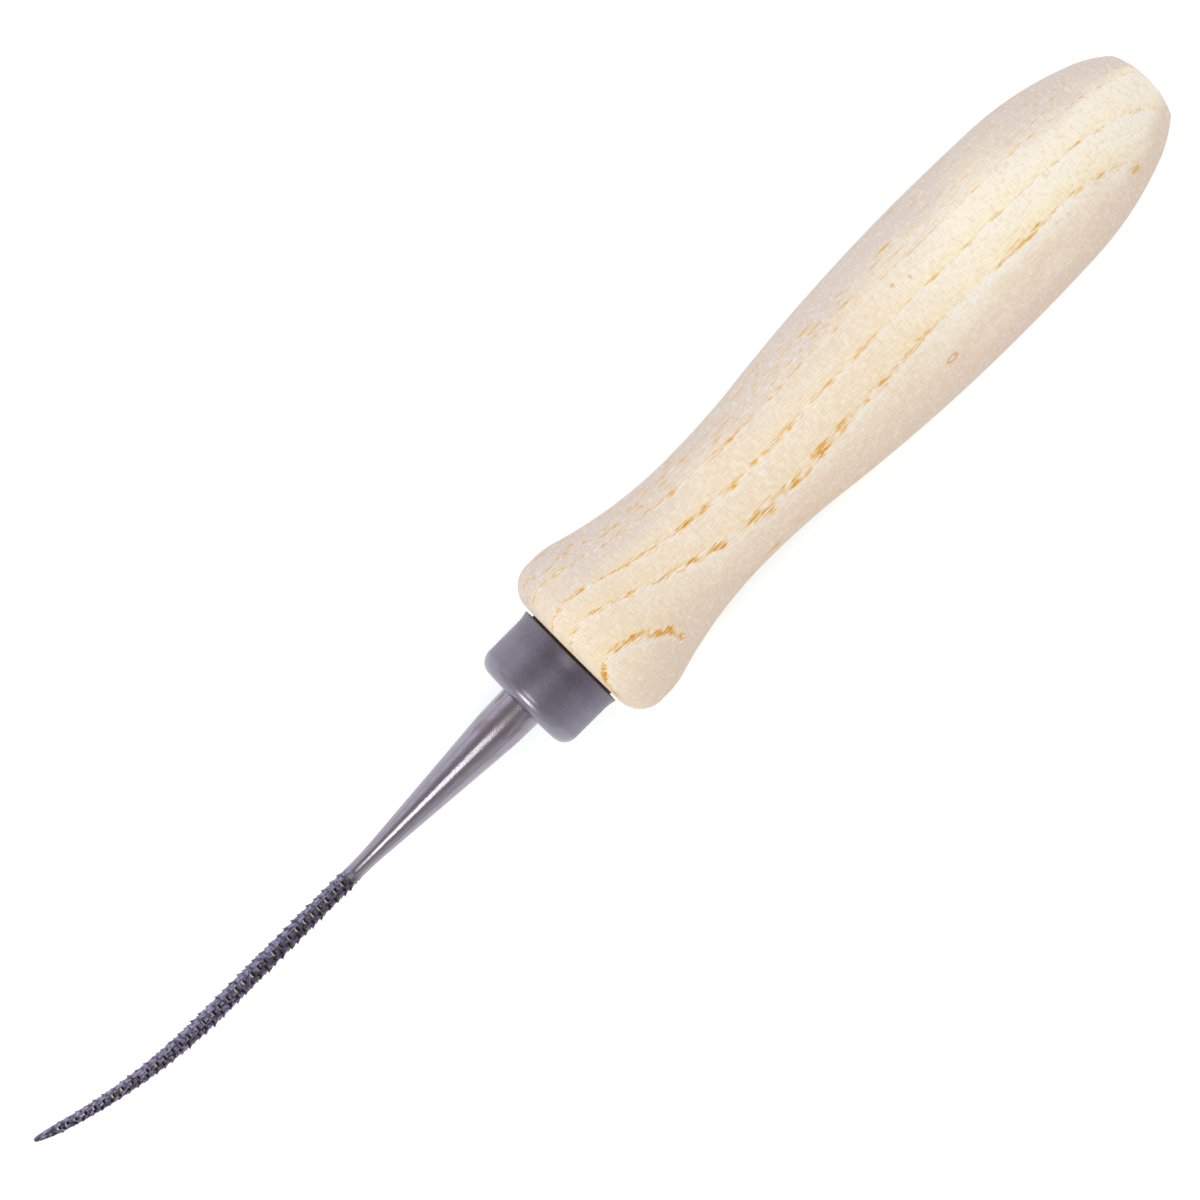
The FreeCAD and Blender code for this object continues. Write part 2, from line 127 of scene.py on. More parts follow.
class FerruleSettings(bpy.types.PropertyGroup):
    """Sizes and colours of the drawn steel ferrule."""

    gap: length("Gap", "Shoulder to the rear rim", 0.45)
    rim: length("Rim radius", "Flared rear rim", 9.75)
    barrel: length("Barrel radius", "Cylindrical barrel", 9.45)
    barrel_start: length("Barrel start", "Shoulder to the rear of the barrel", 2.6)
    barrel_end: length("Barrel end", "Shoulder to the front of the barrel", 8.9)
    nose: length("Nose round", "Rounded front edge", 2.4)
    nose_wall: length("Nose wall", "Thickness of the front", 1.2)
    hole: length("Shank hole", "Radius of the hole in the front", 3.9)
    lip: length("Lip", "Rounding of the rim's and the hole's edges", 0.12)
    steel: colour("Steel", "Satin steel", 128, 122, 136)
    # Also painted shade toward the rim and along the middle of the barrel.
    shade: colour("Shade", "Darker streaks of the brushing", 100, 94, 107)
    # Painted sheen: the rounded front is made lighter to brighten its highlight.
    nose_sheen: colour("Polish", "Smoother rounded front", 166, 162, 170)
    speck: colour("Speck", "Scattered dark specks", 60, 52, 58)


class NeedleSettings(bpy.types.PropertyGroup):
    """Sizes and colours of the stitched needle."""

    tang_width: length("Tang width", "Square tang at the shank", 5.0)
    tang_point: length("Tang point", "Square tang at its end", 2.4)
    tang_depth: length("Tang depth", "Shoulder to the tang's end", 44.0)
    root: length("Root", "Shoulder to the shank's square end", 9.7)
    shank: length("Shank radius", "Shank at the ferrule", 3.8)
    shank_bend: length("Shank bend", "Profile radius behind the taper", 132.0)
    neck_place: length("Neck place", "Shoulder to neck", 47.5)
    neck_bend: length("Neck bend", "Profile radius where the taper meets the neck", 65.0)
    core: length("Core radius", "Steel under the teeth", 1.38)
    taper: length("Taper", "Radius lost along the bend", 0.53)
    blunt: length("Blunt end", "Radius of the end", 0.2)
    bend_start: length("Bend start", "Shoulder to the bend", 78.6)
    bend_radius: length("Bend radius", "Radius of the bend", 100.0)
    bend_angle: FloatProperty(name="Bend angle", description="Turn of the bend",
                              default=math.radians(19.4), unit="ROTATION", subtype="ANGLE")
    rows: IntProperty(name="Rows", description="Rows of teeth, one of them on top", default=9, min=3)
    pitch: length("Pitch", "Spacing of the teeth in a row", 1.66)
    tooth_height: length("Tooth height", "Crest above the steel", 0.42)
    tooth_length: length("Tooth length", "Heel to crest", 0.85)
    tooth_width: length("Tooth width", "Across the front", 0.92)
    lean: length("Lean", "How far a crest overhangs its front", 0.2)
    pit_depth: length("Pit depth", "Hollow left by the punch", 0.15)
    pit_length: length("Pit length", "Hollow in front of a tooth", 0.75)
    teeth_start: length("Teeth start", "Shoulder to the first teeth", 48.2)
    bare_point: length("Bare point", "Point without teeth", 3.2)
    seed: IntProperty(name="Seed", description="Hand-set unevenness", default=7)
    bright: colour("Shank", "Polished shank", 164, 156, 170)
    drawn: colour("Drawn lines", "Darker lines drawn along the shank", 118, 110, 116)
    stitched: colour("Stitched steel", "Steel between the teeth", 84, 76, 88)
    shadow: colour("Shadow", "Dark streaks between the teeth", 40, 31, 40)
    # Painted shade: steel facing up or down is made darker, as it reflects the dim sky overhead.
    top: colour("Top", "Steel that faces up or down", 64, 60, 62)
    # Painted shade on the +Y side of the needle.
    far_side_shade: colour("Far side", "Steel on the +Y side", 62, 44, 60)
    # Also used for painted reflection: more bright streaks on the -Y flank.
    streak: colour("Bright streaks", "Bright streaks between the teeth", 178, 170, 210)
    grit: colour("Grit", "Fine dark grains", 52, 46, 58)
    # Painted highlight: light falling into the hollows of the top row of teeth.
    lit_pocket: colour("Pocket", "Bare metal in the hollows", 212, 204, 178)
    # Painted shadow: the steep fronts of the teeth.
    front_shadow: colour("Dark", "Fronts of the teeth", 22, 18, 24)
    stain: colour("Stain", "Brown stains", 92, 66, 62)


class StageSettings(bpy.types.PropertyGroup):
    """Floor, light and camera."""

    camera_height: FloatProperty(name="Camera height", description="Above the tool's axis",
                                 default=0.9, unit="LENGTH")
    view_width: FloatProperty(name="View width", description="Width seen at the tool's axis",
                              default=0.185, unit="LENGTH")
    floor_side: FloatProperty(name="Floor", description="Side of the floor", default=8.0, unit="LENGTH")
    ambient: FloatProperty(name="Ambient", description="Strength of the overhead sky",
                           default=0.45, min=0.0)
    horizon: FloatProperty(name="Horizon", description="Strength of the sky at the horizon",
                           default=0.85, min=0.0)


# ---------------------------------------------------------------- node trees

class Wire:
    """A value in a node tree, which can be used in sums and products."""

    def __init__(self, board, socket):
        self.board = board
        self.socket = socket

    def maths(self, operation, *others, clamp=False):
        settings = {"operation": operation, "use_clamp": clamp}
        return self.board.node("ShaderNodeMath", settings, [self, *others])

    def __add__(self, other):
        return self.maths("ADD", other)

    def __radd__(self, other):
        return self.board.node("ShaderNodeMath", {"operation": "ADD"}, [other, self])

    def __sub__(self, other):
        return self.maths("SUBTRACT", other)

    def __rsub__(self, other):
        return self.board.node("ShaderNodeMath", {"operation": "SUBTRACT"}, [other, self])

    def __mul__(self, other):
        return self.maths("MULTIPLY", other)

    def __truediv__(self, other):
        return self.maths("DIVIDE", other)

    def __rtruediv__(self, other):
        return self.board.node("ShaderNodeMath", {"operation": "DIVIDE"}, [other, self])

    def __lt__(self, other):
        return self.maths("LESS_THAN", other)

    def __gt__(self, other):
        return self.maths("GREATER_THAN", other)

    def __abs__(self):
        return self.maths("ABSOLUTE")

    def least(self, other):
        return self.maths("MINIMUM", other)

    def most(self, other):
        return self.maths("MAXIMUM", other)

    def root(self):
        return self.maths("SQRT")

    def sine(self):
        return self.maths("SINE")

    def cosine(self):
        return self.maths("COSINE")

    def clamped(self):
        return self.maths("ADD", 0.0, clamp=True)

    def ramp(self, low, high):
        """Go smoothly from 0 at low to 1 at high; high may be the smaller."""
        if low > high:
            return 1 - self.ramp(high, low)
        return self.board.node("ShaderNodeMapRange", {"interpolation_type": "SMOOTHSTEP"},
                               {"Value": self, "From Min": low, "From Max": high})


class Board:
    """Builds one node tree."""

    def __init__(self, tree):
        self.tree = tree
        self.tree.nodes.clear()

    def node(self, kind, settings=None, inputs=(), out=0):
        """Add a node, make its settings, then set or link its inputs; return one of its outputs."""
        made = self.tree.nodes.new(kind)
        for key, value in (settings or {}).items():
            setattr(made, key, value)
        pairs = inputs.items() if isinstance(inputs, dict) else enumerate(inputs)
        for key, value in pairs:
            socket = made.inputs[key]
            if isinstance(value, Wire):
                self.tree.links.new(value.socket, socket)
            elif value is not None:
                socket.default_value = value
        return Wire(self, made.outputs[out]) if made.outputs else made

    def vector(self, x, y, z):
        return self.node("ShaderNodeCombineXYZ", None, [x, y, z])

    def parts(self, vector):
        """Return a vector's three parts."""
        first = self.node("ShaderNodeSeparateXYZ", None, [vector])
        outputs = first.socket.node.outputs
        return [Wire(self, outputs[number]) for number in range(3)]

    def blend(self, share, first, second):
        """Mix two colours; each may be a wire or three numbers."""
        colours = [c if isinstance(c, Wire) else (*c, 1.0) for c in (first, second)]
        settings = {"data_type": "RGBA", "clamp_factor": True}
        return self.node("ShaderNodeMix", settings, {0: share, 6: colours[0], 7: colours[1]}, out=2)

    def grain(self, x, y, z, detail=2.0, roughness=0.5, distortion=0.0):
        """Smooth noise about 0.5, one lump to each unit."""
        values = {"Vector": self.vector(x, y, z), "Scale": 1.0, "Detail": detail,
                  "Roughness": roughness, "Distortion": distortion}
        return self.node("ShaderNodeTexNoise", None, values, "Fac")

    def cells(self, x, y, z):
        """Return the distance to the nearest of scattered points, and a random number for that point."""
        distance = self.node("ShaderNodeTexVoronoi", None,
                             {"Vector": self.vector(x, y, z), "Scale": 1.0, "Randomness": 1.0})
        chance = Wire(self, distance.socket.node.outputs["Color"])
        return distance, self.parts(chance)


class Finish(Board):
    """A material in the making."""

    def __init__(self, name):
        self.material = bpy.data.materials.new(name)
        self.material.use_nodes = True
        super().__init__(self.material.node_tree)
        self.place = self.node("ShaderNodeTexCoord", out="Object")

    def millimetres(self):
        """The place on the object in millimetres, x taken back from the handle's shoulder."""
        scaled = self.node("ShaderNodeVectorMath", {"operation": "SCALE"}, {0: self.place, 3: 1 / MM})
        x, y, z = self.parts(scaled)
        return SHOULDER_X / MM - x, y, z

    def attribute(self, name):
        return self.node("ShaderNodeAttribute", {"attribute_name": name}, out="Fac")

    def bump(self, height, depth):
        """Return a normal from a height, as a share of a depth in millimetres."""
        values = {"Strength": 1.0, "Distance": depth * MM, "Height": height}
        return self.node("ShaderNodeBump", None, values)

    def surface(self, values):
        shader = self.node("ShaderNodeBsdfPrincipled", None, values)
        self.node("ShaderNodeOutputMaterial", None, {"Surface": shader})
        return self.material


# ---------------------------------------------------------------- finishes

RING_TURN = math.radians(42)      # the ring planes' normal, from Y towards Z
RING_RISE = 0.098                 # the rings' slope off the axis at the shoulder
RING_BOW = 0.00054                # how they bow back again, for each millimetre
RINGS = (                         # place across the rings in millimetres, strength of the pores
    (-18.7, 0.7), (-17.2, 0.5), (-15.6, 0.8), (-13.7, 0.5), (-11.9, 0.7), (-10.2, 0.4), (-8.5, 0.7),
    (-7.1, 0.35), (-5.5, 0.6), (-4.3, 0.5), (-3.1, 0.6), (-1.4, 0.8), (3.7, 0.9), (7.5, 1.05),
    (12.0, 1.6),
)
RING_BAND = 0.46                  # half the thickness of a band of pores
KNOT_FALL = 2.2                   # how fast a knot fades away from its line
KNOTS = (                         # place back and across, half length, half width, hollow share
    (72.8, 9.0, 1.1, 0.45, 0.8), (74.0, -5.3, 1.2, 1.1, 0.0), (76.8, -4.3, 0.9, 1.3, 0.0),
)


def ash_wood(settings):
    """Bare turned ash: flat-sawn rings of long yellow pores with a pale painted highlight beside them,
    over a woven texture.
    """
    finish = Finish("bare_ash")
    back, y, z = finish.millimetres()
    radius = (y * y + z * z).root()
    side = y / radius.most(1.0)
    across = y * math.cos(RING_TURN) + z * math.sin(RING_TURN) - back * (RING_RISE - back * RING_BOW)
    along_ring = z * math.cos(RING_TURN) - y * math.sin(RING_TURN)
    waver = finish.grain(back / 16, y / 7, z / 7) - 0.5
    ragged = finish.grain(back / 1.9, y / 0.9, z / 0.9, detail=3.0) - 0.5
    ring = across + waver * 0.8 + ragged * 0.9

    width = RING_BAND - back.ramp(50.0, 72.0) * 0.18
    band = 0.0
    before = 0.0
    after = 0.0
    for place, strength in RINGS:
        beyond = ring - place
        band = (1 - abs(beyond) / width).maths("MULTIPLY", strength).most(band)
        before = beyond.ramp(-2.2, -0.2) * (0.1 - beyond).ramp(0.0, 0.4) * strength + before
        after = beyond.ramp(0.0, 0.3) * (1.2 - beyond).ramp(0.0, 1.0) * strength + after
    plain = side.ramp(0.7, 0.84) * (0.5 + abs(back - 38).ramp(12.0, 20.0) * 0.5)
    band = band * (1 - plain)
    after = after.clamped() * (1 - abs(side).ramp(0.5, 0.8))

    # Pores that follow the fibres and so cross each ring's line at a slant, broken up along it.
    broken = finish.grain(back / 3.4, ring / 1.3, along_ring / 3)
    strand = finish.grain(back / 2.7, y / 0.17, z / 0.34, detail=3.0, roughness=0.6)
    fill = 0.34 - back.ramp(48.0, 72.0) * 0.06
    reach = strand + (band.root() * (0.45 + (broken - 0.4) * 2.4)).clamped() * fill
    pore = reach.ramp(0.66, 0.76)
    deep = reach.ramp(0.79, 0.9)
    stray = finish.grain(back / 1.6 + 40, y / 0.2, z / 0.2, roughness=0.6).ramp(0.69, 0.8)
    # Painted highlight beside the rings, kept off the flanks and fading toward the butt.
    fleck_highlight = strand.ramp(0.5, 0.4) * (after + band).ramp(0.1, 0.7) * back.ramp(100.0, 40.0)

    # Broad colours, then the woven texture.
    cloud = finish.grain(back / 20, y / 7, z / 7, detail=3.0)
    drift = (cloud - 0.5) * 0.8
    warmth = (before * 0.5 + drift + 0.15 - back * 0.0015).clamped()
    wood = finish.blend(warmth, settings.pale, settings.warm)
    # Painted highlight: a pale band just after each ring.
    wood = finish.blend(after * (0.3 + back.ramp(60.0, 80.0) * 0.3), wood, settings.fleck_highlight)
    # Painted shade: toward the front the wood turns darker and browner.
    wood = finish.blend(back.ramp(90.0, 62.0) * 0.44, wood, settings.tan)
    # Painted shade on the flanks: rosier on +Y, greyer on -Y.
    wood = finish.blend((side + drift).ramp(0.3, 0.85), wood, settings.rosy_flank_shade)
    wood = finish.blend((side + drift).ramp(-0.3, -0.85), wood, settings.grey_flank_shade)
    lengthwise = finish.grain(back / 1.3, y / 0.26, z / 0.26, detail=0.0) - 0.5
    crosswise = finish.grain(back / 0.26, y / 1.3, z / 1.3, detail=0.0) - 0.5
    wavy = finish.grain(back / 1.2, ring / 0.3, along_ring / 0.6, distortion=0.6) - 0.5
    weave = lengthwise * 0.9 + crosswise * 0.9 + wavy * 0.5
    wood = finish.blend((weave * 2.2).clamped() * 0.45, wood, settings.weave_light)
    wood = finish.blend((weave * -2.2).clamped() * 0.55, wood, settings.weave_dark)
    wood = finish.blend(fleck_highlight * 0.6, wood, settings.fleck_highlight)
    wood = finish.blend(stray * 0.6, wood, settings.pore)
    wood = finish.blend(pore * 0.85, wood, settings.pore)
    wood = finish.blend(deep * (0.9 - back.ramp(45.0, 75.0) * 0.45), wood, settings.deep)

    # Small knots and an oval mark, on the upper side only.
    knot = 0.0
    for place, aside, half_length, half_width, hollow in KNOTS:
        off = (((back - place) / half_length) * ((back - place) / half_length)
               + ((y - aside) / half_width) * ((y - aside) / half_width)).root()
        knot = (1 - abs(off - hollow) * KNOT_FALL).most(knot)
    wood = finish.blend(knot.clamped() * z.ramp(0.0, 1.0) * 0.6, wood, settings.deep)

    # Painted shade: the spigot in the gap behind the ferrule is darkened to brown, as it lies in shade.
    gap = (back + 0.06).ramp(0.06, 0.0) * (radius - 9.3).ramp(0.4, 0.0)
    wood = finish.blend(gap, wood, settings.gap)
    height = weave * 0.5 - pore * 0.5 - deep * 0.8 - knot.clamped() * 0.5
    return finish.surface({
        "Base Color": wood,
        "Roughness": 0.62 + pore * 0.15 - fleck_highlight * 0.1,
        "Specular IOR Level": 0.3,
        "Normal": finish.bump(height, 0.03),
    })


def ferrule_steel(settings):
    """Satin drawn steel, brushed round the barrel."""
    finish = Finish("satin_ferrule")
    back, y, z = finish.millimetres()
    brush = finish.grain(back / 0.11, y / 6, z / 6, detail=3.0, roughness=0.7)
    cloud = finish.grain(back / 3, y / 3, z / 3, detail=3.0)
    mottle = finish.grain(back / 0.25, y / 0.3, z / 0.3)
    spots, chance = finish.cells(back / 1.1, y / 1.1, z / 1.1)
    speck = (spots - 0.05).ramp(0.05, 0.0) * (0.12 - chance[0]).ramp(0.0, 0.02)
    forward = 0.0 - back
    nose = forward.ramp(8.6, 9.6)
    # Brushing and mottle, with painted shade toward the rim and where the barrel faces up or down, and
    # painted light toward the nose and on the barrel's +Y and -Y flanks.
    share = cloud * 0.5 + (brush - 0.5) * 0.8 + (mottle - 0.5) * 1.2 + forward.ramp(5.5, 2.0) * 0.45
    share = share - forward.ramp(6.5, 8.5) * 0.4
    share = share + abs(y).ramp(4.5, 1.0) * 0.3 - abs(y).ramp(3.0, 6.0) * 0.2
    steel = finish.blend(share, settings.steel, settings.shade)
    # Painted sheen on the rounded front.
    steel = finish.blend(nose * 0.2, steel, settings.nose_sheen)
    steel = finish.blend(speck * 0.7, steel, settings.speck)
    return finish.surface({
        "Base Color": steel,
        "Metallic": 1.0,
        "Roughness": 0.42 + (cloud - 0.5) * 0.12 + (brush - 0.5) * 0.15 + speck * 0.3 - nose * 0.14,
        "Normal": finish.bump(brush + mottle * 0.4, 0.006),
    })


def blade_steel(settings):
    """Polished shank and dark stitched needle of one steel."""
    finish = Finish("needle_steel")
    back, y, z = finish.millimetres()
    rise = finish.attribute("tooth_rise")
    front = finish.attribute("tooth_front_shadow")
    # Painted highlight in the hollows, on the top row only.
    lit_pocket = finish.attribute("tooth_lit_pocket") * finish.attribute("upward").ramp(0.91, 0.97)
    sideward = finish.attribute("sideward")
    forward = 0.0 - back
    start = settings.teeth_start / MM
    toothed = (forward + finish.grain(back / 0.8, y / 0.6, z / 0.6) * 2).ramp(start - 0.4, start + 2.2)

    draw = finish.grain(back / 8, y / 0.16, z / 0.16, detail=3.0, roughness=0.6)
    chatter = finish.grain(back / 0.22, y / 0.35, z / 0.35, roughness=0.7)
    cloud = finish.grain(back / 4, y / 1.5, z / 1.5, detail=3.0)
    stained = (cloud - 0.5).ramp(-0.04, 0.12) * forward.ramp(26.0, 12.0)
    shank = finish.blend((draw - 0.5) * 1.2 + 0.3, settings.bright, settings.drawn)
    shank = finish.blend(stained * 0.4, shank, settings.stain)

    streak = finish.grain(back / 1.8, y / 0.13, z / 0.13, detail=3.0, roughness=0.65) - 0.5
    grit = finish.grain(back / 0.25, y / 0.2, z / 0.2)
    needle = finish.blend(streak.ramp(-0.01, -0.08) * 0.9, settings.stitched, settings.shadow)
    # Painted shade where the steel faces up or down.
    needle = finish.blend(abs(sideward).ramp(0.6, 0.2) * 0.6, needle, settings.top)
    # Painted shade on the +Y side.
    needle = finish.blend(sideward.ramp(0.1, 0.6) * 0.7, needle, settings.far_side_shade)
    # Painted reflection: bright streaks on the -Y flank.
    flank = sideward.ramp(-0.2, -0.45) * sideward.ramp(-1.0, -0.8)
    needle = finish.blend(flank * streak.ramp(-0.12, 0.04) * 0.55, needle, settings.streak)
    # Painted reflection: more bright streaks on the -Y flank; more also toward the bend.
    shine = sideward.ramp(-0.1, -0.6) * 0.55 + 0.4 + forward.ramp(66.0, 80.0) * 0.5
    needle = finish.blend(streak.ramp(0.02, 0.09) * shine, needle, settings.streak)
    needle = finish.blend(grit.ramp(0.5, 0.75) * 0.4, needle, settings.grit)
    rust = (finish.grain(back / 2.2 + 9, y / 0.9, z / 0.9) - 0.5).ramp(0.15, 0.23)
    needle = finish.blend(rust * 0.7, needle, settings.stain)
    needle = finish.blend(lit_pocket * 0.9, needle, settings.lit_pocket)
    # Painted shadow on the fronts of the teeth, lighter on the -Y flank.
    needle = finish.blend(front * (1.0 - flank * 0.4), needle, settings.front_shadow)
    steel = finish.blend(toothed, shank, needle)
    return finish.surface({
        "Base Color": steel,
        "Metallic": 1.0 - toothed * 0.15,
        "Roughness": 0.17 + (cloud - 0.5) * 0.08 + toothed * 0.23 + stained * 0.15 - rise * 0.05,
        "Normal": finish.bump(draw + chatter * 2.4 + (grit + streak * 2) * toothed * 2.0, 0.006),
    })


FLOOR_TONE = (0.81, 0.85, 0.88, 1.0)
FLOOR_GLOW = 0.38                 # what the matt floor lacks to look as bright as the background


def white_floor():
    """Matt white floor that looks as bright as the background where no shadow falls."""
    finish = Finish("white_floor")
    matt = finish.node("ShaderNodeBsdfDiffuse", None, {"Color": FLOOR_TONE})
    lift = finish.node("ShaderNodeEmission", None, {"Color": WHITE, "Strength": FLOOR_GLOW})
    lifted = finish.node("ShaderNodeAddShader", None, [matt, lift])
    path = finish.node("ShaderNodeLightPath", out="Is Camera Ray").socket.node.outputs
    seen = Wire(finish, path["Is Camera Ray"]).most(Wire(finish, path["Is Glossy Ray"]))
    seen = seen.most(Wire(finish, path["Is Transmission Ray"]))
    shown = finish.node("ShaderNodeMixShader", None, [seen, matt, lifted])
    finish.node("ShaderNodeOutputMaterial", None, {"Surface": shown})
    return finish.material


# ---------------------------------------------------------------- shapes

def arc_points(centre, start, end, spacing):
    """Return points on an arc about a centre, from after its start to its end, the short way round."""
    spoke = start - centre
    goal = end - centre
    sweep = math.atan2(spoke.x * goal.y - spoke.y * goal.x, spoke.dot(goal))
    steps = max(2, round(abs(sweep) * spoke.length / spacing))
    first = math.atan2(spoke.y, spoke.x)
    turns = (first + sweep * step / steps for step in range(1, steps + 1))
    return [centre + Vector((math.cos(turn), math.sin(turn))) * spoke.length for turn in turns]


def line_points(start, end, spacing):
    """Return points on a line, from after its start to its end."""
    steps = max(1, round((end - start).length / spacing))
    return [start.lerp(end, step / steps) for step in range(1, steps + 1)]


def crossing(first, first_reach, second, second_reach):
    """Return the point at these distances from two points, on the right going from one to the other."""
    link = second - first
    along = (first_reach ** 2 - second_reach ** 2 + link.length ** 2) / (2 * link.length)
    aside = math.sqrt(first_reach ** 2 - along ** 2)
    heading = link.normalized()
    return first + heading * along + Vector((heading.y, -heading.x)) * aside


def point(x, y):
    """Return a place on an outline: forward of the shoulder, away from the axis."""
    return Vector((x, y))


def face_outward(mesh, sharp_angle):
    """Turn the faces outward and smooth them, but for the edges that bend by more than an angle."""
    shell = bmesh.new()
    shell.from_mesh(mesh)
    bmesh.ops.recalc_face_normals(shell, faces=shell.faces)
    shell.to_mesh(mesh)
    shell.free()
    mesh.polygons.foreach_set("use_smooth", [True] * len(mesh.polygons))
    mesh.set_sharp_from_angle(angle=sharp_angle)


LATHE_SIDES = 160
ON_AXIS = 1e-7                               # a smaller radius is a point on the axis
TRUE_RADIUS = 8.6 * MM                       # what is turned no larger than this stays true
LUMPS_PER_METRE = Vector((90, 60, 60))       # along and across the wood


def lathe(name, outline, material, closed, unevenness=0.0):
    """Turn an outline of (distance forward of the shoulder, radius) about the tool's axis."""
    vertices = []
    rings = []
    for along, radius in outline:
        if radius < ON_AXIS:
            rings.append([len(vertices)])
            vertices.append((SHOULDER_X + along, 0.0, 0.0))
            continue
        rings.append(list(range(len(vertices), len(vertices) + LATHE_SIDES)))
        for side in range(LATHE_SIDES):
            turn = math.tau * side / LATHE_SIDES
            place = Vector((along, radius * math.cos(turn), radius * math.sin(turn)))
            lump = noise.noise(place * LUMPS_PER_METRE)
            reach = 1 + unevenness * (lump - 0.5) / radius if radius > TRUE_RADIUS else 1
            vertices.append((SHOULDER_X + along, place.y * reach, place.z * reach))
    pairs = list(zip(rings, rings[1:]))
    if closed:
        pairs.append((rings[-1], rings[0]))
    faces = []
    for near, far in pairs:
        for side in range(LATHE_SIDES):
            corners = [near[side % len(near)], near[(side + 1) % len(near)],
                       far[(side + 1) % len(far)], far[side % len(far)]]
            faces.append(list(dict.fromkeys(corners)))
    mesh = bpy.data.meshes.new(name)
    mesh.from_pydata(vertices, [], faces)
    face_outward(mesh, sharp_angle=math.radians(40))
    mesh.materials.append(material)
    made = bpy.data.objects.new(name, mesh)
    bpy.context.scene.collection.objects.link(made)
    return made


def handle_outline(size):
    """Return half the handle's outline, from the pilot bore's end round the shoulder to the butt."""
    crest = point(-size.flare_crest, size.flare)
    waist = point(-size.waist_place, size.waist)
    belly = point(-size.belly_place, size.belly)

    # Two arcs level at both ends: their radii add up to reach / sin(turn).
    flare_turn = 2 * math.atan2(crest.y - waist.y, crest.x - waist.x)
    throat = (crest.x - waist.x) / math.sin(flare_turn) - size.flare_bend
    rise_turn = 2 * math.atan2(belly.y - waist.y, waist.x - belly.x)
    swell = (waist.x - belly.x) / math.sin(rise_turn) - size.waist_bend
    flare_end = crest - point(math.sin(flare_turn), 1 - math.cos(flare_turn)) * size.flare_bend
    rise_end = waist + point(-math.sin(rise_turn), 1 - math.cos(rise_turn)) * size.waist_bend

    # The rounding end, back from the belly: each arc's centre lies on the one before's normal.
    lean = math.asin((size.belly_end - size.belly_place) / size.belly_bend)
    normal = point(-math.sin(lean), math.cos(lean))
    belly_centre = belly - point(0, size.belly_bend)
    belly_exit = belly_centre + normal * size.belly_bend
    end_centre = belly_exit - normal * size.end_bend
    dome_middle = point(math.sqrt(size.dome ** 2 - size.flat ** 2) - size.total, 0)
    edge = dome_middle + point(-math.sqrt(size.dome ** 2 - size.dome_edge ** 2), size.dome_edge)
    butt_centre = crossing(end_centre, size.end_bend - size.butt_bend, edge, size.butt_bend)
    end_exit = end_centre + (butt_centre - end_centre).normalized() * size.end_bend

    step = 0.5 * MM
    fine = 0.3 * MM
    shoulder_top = point(-size.shoulder, size.flare)
    face_top = point(0, size.flare - size.shoulder)
    outline = [point(-size.pilot_depth, 0), point(-size.pilot_depth, size.pilot),
               point(-size.bore_depth, size.pilot), point(-size.bore_depth, size.bore),
               point(size.spigot, size.bore), point(size.spigot, size.spigot_radius)]
    outline += line_points(outline[-1], point(0, size.spigot_radius), 2 * MM)
    outline += line_points(outline[-1], face_top, step)
    outline += arc_points(face_top - point(size.shoulder, 0), face_top, shoulder_top, fine)
    outline += line_points(shoulder_top, crest, step)
    outline += arc_points(crest - point(0, size.flare_bend), crest, flare_end, step)
    outline += arc_points(waist + point(0, throat), flare_end, waist, step)
    outline += arc_points(waist + point(0, size.waist_bend), waist, rise_end, step)
    outline += arc_points(belly - point(0, swell), rise_end, belly, step)
    outline += arc_points(belly_centre, belly, belly_exit, step)
    outline += arc_points(end_centre, belly_exit, end_exit, step)
    outline += arc_points(butt_centre, end_exit, edge, fine)
    outline += arc_points(dome_middle, edge, point(-size.total, size.flat), fine)
    outline += line_points(outline[-1], point(-size.total, 0), step)
    return outline


FLARE_STEPS = 8


def ferrule_outline(size, spigot_radius):
    """Return the ferrule's closed outline: nose, barrel, flared rim and the inside."""
    front = size.barrel_end + size.nose
    lip = size.lip
    fine = 0.15 * MM
    nose_start = point(front, size.barrel - size.nose)
    nose_end = point(size.barrel_end, size.barrel)
    floor = front - size.nose_wall
    outline = [point(front - lip, size.hole)]
    outline += arc_points(point(front - lip, size.hole + lip), outline[-1],
                          point(front, size.hole + lip), lip / 3)
    outline += line_points(outline[-1], nose_start, 0.5 * MM)
    outline += arc_points(point(size.barrel_end, nose_start.y), nose_start, nose_end, fine)
    outline += line_points(nose_end, point(size.barrel_start, size.barrel), 0.7 * MM)
    # The rim flares in one curve, level where it leaves the barrel.
    reach = size.barrel_start - size.gap - lip
    swell = size.rim - size.barrel
    for step in range(1, FLARE_STEPS + 1):
        share = step / FLARE_STEPS
        outline.append(point(size.barrel_start - reach * share, size.barrel + swell * share ** 2))
    rim = outline[-1]
    outline += arc_points(rim - point(0, lip), rim, rim - point(lip, lip), lip / 3)
    outline += line_points(outline[-1], point(size.gap, spigot_radius), 0.5 * MM)
    outline += line_points(outline[-1], point(floor, spigot_radius), 2 * MM)
    outline += line_points(outline[-1], point(floor, size.hole), 1 * MM)
    return outline


